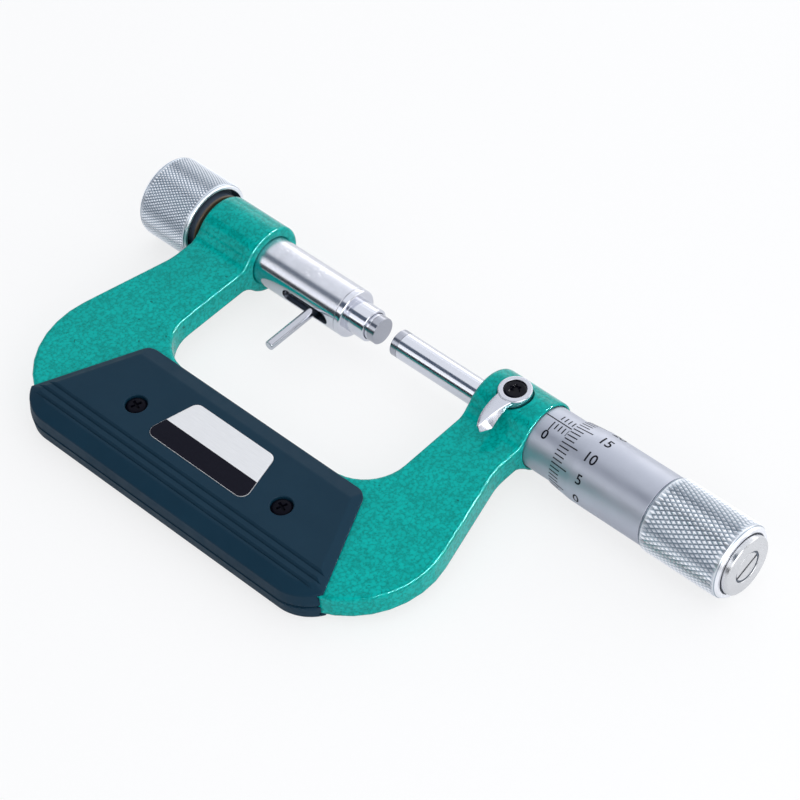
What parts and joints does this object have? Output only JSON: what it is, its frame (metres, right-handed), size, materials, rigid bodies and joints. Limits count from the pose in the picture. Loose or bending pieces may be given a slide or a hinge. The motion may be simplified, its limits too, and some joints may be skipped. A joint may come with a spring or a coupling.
{
  "type": "indicating micrometer with a spring-loaded anvil",
  "caption": "Outside micrometer with a flat C-shaped frame, grip shells, a spring-loaded anvil drawn back by a side rod, a lever spindle lock and a knurled ratchet thimble.",
  "frame": {"origin": "Centre of the anvil's measuring face, at rest.", "axes": "+X along the spindle axis from the anvil to the thimble; the bow hangs towards -Y; +Z is the side with the range plate and the lock lever."},
  "size_m": [0.1703, 0.078, 0.0198],
  "materials": {
    "enamel": "teal hammered enamel, glossy",
    "grip_plastic": "dark navy moulded plastic, satin",
    "black_oxide": "black oxide",
    "label_plate": "thin plate, brushed upper field and black lower band",
    "ground_steel": "ground and polished",
    "carbide": "lapped carbide",
    "spring_steel": "drawn wire",
    "brass": "plain turned",
    "satin_chrome": "satin chrome",
    "disc_steel": "fine turned",
    "satin_nickel": "satin nickel, cast"
  },
  "bodies": {
    "frame": {"frame": "enamel", "front_grip": "grip_plastic", "rear_grip": "grip_plastic", "front_grip_screw_left": "black_oxide", "front_grip_screw_right": "black_oxide", "rear_grip_screw_left": "black_oxide", "rear_grip_screw_right": "black_oxide", "range_label": "label_plate", "anvil_tube": "ground_steel", "guide_bush": "ground_steel", "spring_plug": "brass", "anvil_spring": "spring_steel", "graduated_sleeve": "satin_chrome", "guide_nut": "brass", "adjusting_nut": "brass"},
    "anvil": {"anvil_plunger": "ground_steel", "anvil_tip": "carbide", "draw_rod": "ground_steel"},
    "spindle": {"spindle": "ground_steel", "spindle_tip": "carbide"},
    "thimble": {"thimble": "satin_chrome", "end_disc": "disc_steel", "end_screw": "disc_steel", "ratchet_spring": "spring_steel"},
    "ratchet": {"ratchet_sleeve": "satin_chrome"},
    "lock": {"lock_lever": "satin_nickel", "lock_screw": "black_oxide", "lock_pin": "ground_steel"},
    "cap_ring": {"cap_thread_ring": "brass"},
    "cap": {"rear_cap": "satin_chrome"}
  },
  "joints": [
    {"name": "anvil_retract", "type": "slide", "parent": "frame", "child": "anvil", "axis": [1, 0, 0], "range_m": [-0.006, 0], "stiffness_N_per_m": 150, "springref_m": 0.02, "deforming": ["anvil_spring"]},
    {"name": "spindle_travel", "type": "slide", "parent": "frame", "child": "spindle", "axis": [1, 0, 0], "range_m": [-0.00413, 0.02087]},
    {"name": "thimble_turn", "type": "hinge", "parent": "spindle", "child": "thimble", "pos_m": [0.08, 0, 0], "axis": [1, 0, 0], "range_deg": [-2975, 15028]},
    {"name": "ratchet_slip", "type": "hinge", "parent": "thimble", "child": "ratchet", "pos_m": [0.09, 0, 0], "axis": [1, 0, 0], "continuous": true},
    {"name": "lock_swing", "type": "hinge", "parent": "frame", "child": "lock", "pos_m": [0.0394, 0, 0.008], "axis": [0, 0, 1], "range_deg": [-30, 30]},
    {"name": "cap_travel", "type": "slide", "parent": "frame", "child": "cap_ring", "axis": [1, 0, 0], "range_m": [-0.00375, 0]},
    {"name": "cap_turn", "type": "hinge", "parent": "cap_ring", "child": "cap", "pos_m": [-0.06, 0, 0], "axis": [1, 0, 0], "range_deg": [-1801, 0]}
  ],
  "couplings": [
    {"joint": "thimble_turn", "follows": "spindle_travel", "rad_per_m": 12566},
    {"joint": "cap_turn", "follows": "cap_travel", "rad_per_m": 8377.6}
  ]
}
